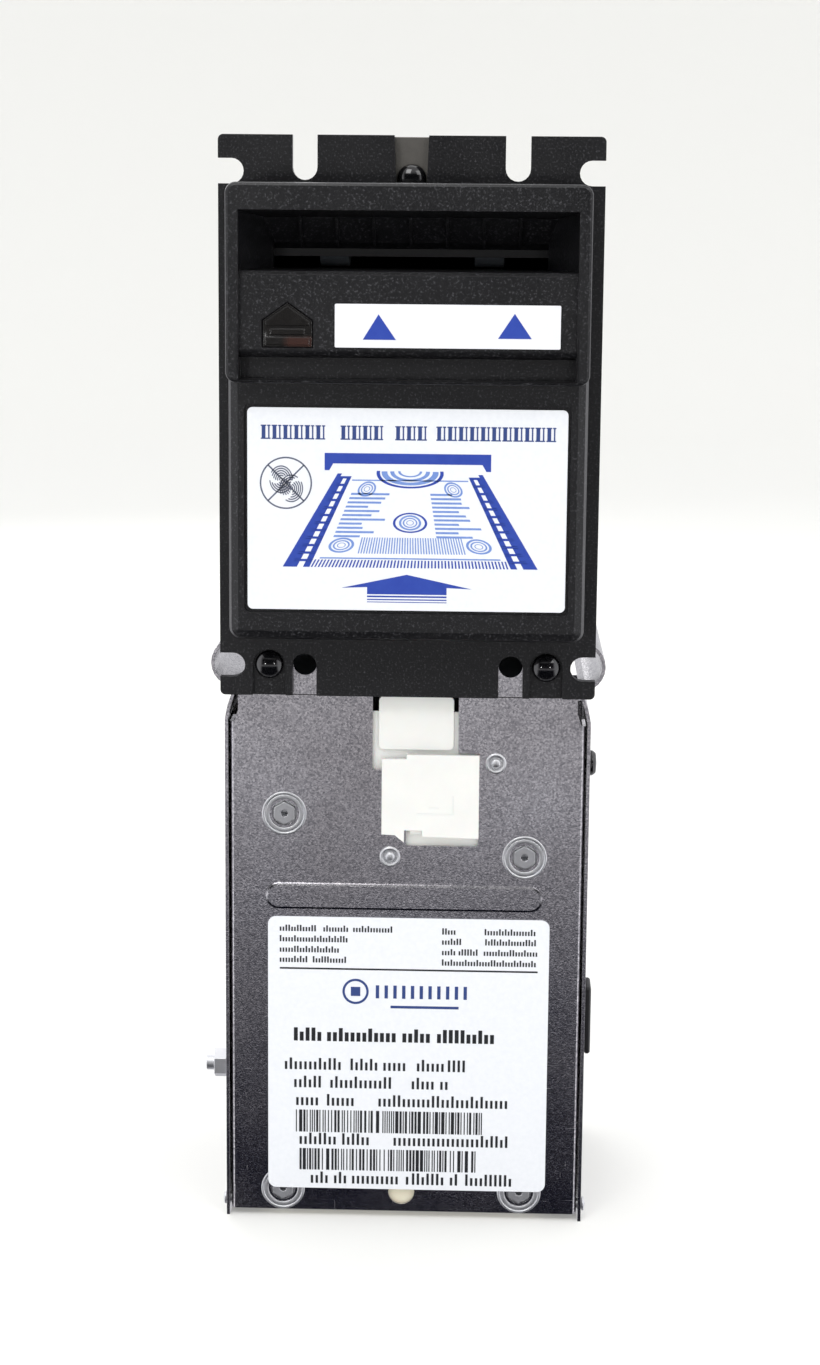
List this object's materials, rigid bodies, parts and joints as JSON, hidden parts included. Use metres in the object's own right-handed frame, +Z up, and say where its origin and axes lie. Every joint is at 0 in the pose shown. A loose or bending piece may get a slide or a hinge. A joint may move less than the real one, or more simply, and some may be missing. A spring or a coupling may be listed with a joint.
{
  "type": "bill validator",
  "caption": "Vending-machine bill validator: black hooded bezel with note mouth and label over a sheet-steel stacker box with a hinged front door and white latch.",
  "frame": {"origin": "on the front face of the bezel flange, midway between the two lower inner stud slots and at their height", "axes": "+X to the right seen from the front, +Y to the rear into the machine, +Z up along the unit"},
  "size_m": [0.117, 0.111, 0.3191],
  "materials": {
    "black_abs": "fine-grained moulded black ABS",
    "smoked_lens": "dark smoked polycarbonate",
    "label_silver": "printed satin polyester film",
    "decal_white": "printed white vinyl",
    "black_screw": "gloss black oxide",
    "zinc_steel": "bright zinc-plated sheet steel, bluish",
    "grey_steel": "dull grey plated steel",
    "spring_steel": "ground bright steel",
    "white_nylon": "natural white nylon",
    "cream_plastic": "cream moulded plastic",
    "grey_plastic": "dark grey moulded plastic",
    "black_rubber": "matt black rubber",
    "board_green": "green solder mask on glass-epoxy board",
    "motor_can": "drawn steel motor can",
    "button_blue": "blue moulded plastic"
  },
  "bodies": {
    "chassis": {"bezel": "black_abs", "arrow_lens": "smoked_lens", "triangle_decal": "decal_white", "instruction_label": "label_silver", "bezel_screw_left": "black_screw", "bezel_screw_right": "black_screw", "bezel_screw_top": "black_screw", "front_cross_plate": "zinc_steel", "top_bracket": "grey_steel", "chassis_side_left": "zinc_steel", "chassis_side_right": "zinc_steel", "base_plate": "zinc_steel", "rear_plate": "zinc_steel", "door_hinge_pin_right": "black_screw", "door_hinge_pin_left": "black_screw", "stack_rail_left": "black_abs", "stack_rail_right": "black_abs", "channel_back": "grey_plastic", "stacker_motor": "motor_can", "stacker_gearbox": "grey_plastic", "front_transport_frame": "black_abs", "transport_motor": "motor_can", "timing_belt": "black_rubber", "lower_sensor_board": "board_green", "side_screw": "black_screw", "side_plug": "black_rubber", "ground_nut": "zinc_steel"},
    "door": {"stacker_door": "zinc_steel", "rating_label": "label_silver", "door_post_upper_left": "zinc_steel", "door_post_upper_right": "zinc_steel", "door_post_lower_left": "zinc_steel", "door_post_lower_right": "zinc_steel", "latch_rivet_upper": "zinc_steel", "latch_rivet_lower": "zinc_steel", "spring_carrier": "cream_plastic", "pressure_spring_upper_left": "spring_steel", "pressure_spring_upper_right": "spring_steel", "pressure_spring_lower_left": "spring_steel", "pressure_spring_lower_right": "spring_steel"},
    "latch": {"door_latch": "white_nylon"},
    "presser": {"pressure_plate": "cream_plastic"},
    "pusher": {"pusher_plate": "grey_plastic", "pusher_rack": "white_nylon"},
    "pusher_gear": {"stacker_gear": "white_nylon"},
    "pusher_motor_shaft": {"stacker_motor_pinion": "motor_can"},
    "front_drive": {"drive_shaft_front": "spring_steel", "drive_wheel_front_left": "black_rubber", "drive_wheel_front_right": "black_rubber"},
    "lower_drive": {"drive_shaft_lower": "spring_steel", "drive_wheel_lower_left": "black_rubber", "drive_wheel_lower_right": "black_rubber"},
    "belt_motor_shaft": {"motor_pulley": "white_nylon"},
    "cover": {"rear_transport_cover": "black_abs", "control_board": "board_green", "board_connector": "white_nylon"},
    "release_button": {"cover_release_button": "button_blue"},
    "front_idler": {"idler_roller_front": "grey_plastic"},
    "lower_idler": {"idler_roller_lower": "grey_plastic"},
    "flap": {"exit_flap": "black_abs"}
  },
  "joints": [
    {"name": "stacker_door_hinge", "type": "hinge", "parent": "chassis", "child": "door", "pos_m": [0, 0.0086, -0.1649], "axis": [1, 0, 0], "range_deg": [0, 86]},
    {"name": "door_latch_slide", "type": "slide", "parent": "door", "child": "latch", "axis": [0, 0, 1], "range_m": [-0.0034, 0.0026]},
    {"name": "pressure_plate_slide", "type": "slide", "parent": "door", "child": "presser", "axis": [0, -1, 0], "range_m": [0, 0.0194], "stiffness_N_per_m": 150, "springref_m": -0.015, "deforming": ["pressure_spring_upper_left", "pressure_spring_upper_right", "pressure_spring_lower_left", "pressure_spring_lower_right"]},
    {"name": "pusher_slide", "type": "slide", "parent": "chassis", "child": "pusher", "axis": [0, -1, 0], "range_m": [0, 0.015]},
    {"name": "pusher_gear_spin", "type": "hinge", "parent": "chassis", "child": "pusher_gear", "pos_m": [0, 0.0675, -0.0845], "axis": [-1, 0, 0], "range_deg": [0, 146]},
    {"name": "pusher_motor_spin", "type": "hinge", "parent": "chassis", "child": "pusher_motor_shaft", "pos_m": [0, 0.0675, -0.0685], "axis": [1, 0, 0], "range_deg": [0, 436]},
    {"name": "front_drive_spin", "type": "hinge", "parent": "chassis", "child": "front_drive", "pos_m": [0, 0.016, 0.1053], "axis": [1, 0, 0], "continuous": true},
    {"name": "lower_drive_spin", "type": "hinge", "parent": "chassis", "child": "lower_drive", "pos_m": [0, 0.0393, 0.03], "axis": [1, 0, 0], "continuous": true},
    {"name": "belt_motor_spin", "type": "hinge", "parent": "chassis", "child": "belt_motor_shaft", "pos_m": [0, 0.024, 0.062], "axis": [1, 0, 0], "continuous": true},
    {"name": "cover_hinge", "type": "hinge", "parent": "chassis", "child": "cover", "pos_m": [0, 0.08, 0.018], "axis": [-1, 0, 0], "range_deg": [0, 60]},
    {"name": "release_button_press", "type": "slide", "parent": "cover", "child": "release_button", "axis": [0, 0, -1], "range_m": [0, 0.0025], "stiffness_N_per_m": 400, "springref_m": -0.002},
    {"name": "front_idler_spin", "type": "hinge", "parent": "cover", "child": "front_idler", "pos_m": [0, 0.016, 0.1187], "axis": [1, 0, 0], "continuous": true},
    {"name": "lower_idler_spin", "type": "hinge", "parent": "cover", "child": "lower_idler", "pos_m": [0, 0.0527, 0.03], "axis": [1, 0, 0], "continuous": true},
    {"name": "exit_flap_hinge", "type": "hinge", "parent": "chassis", "child": "flap", "pos_m": [0, 0.0436, 0.018], "axis": [1, 0, 0], "range_deg": [0, 10]}
  ],
  "couplings": [
    {"joint": "pusher_gear_spin", "follows": "pusher_slide", "rad_per_m": 166.67},
    {"joint": "pusher_motor_spin", "follows": "pusher_slide", "rad_per_m": 500},
    {"joint": "lower_drive_spin", "follows": "front_drive_spin", "ratio": 1},
    {"joint": "belt_motor_spin", "follows": "front_drive_spin", "ratio": 1.1471}
  ]
}
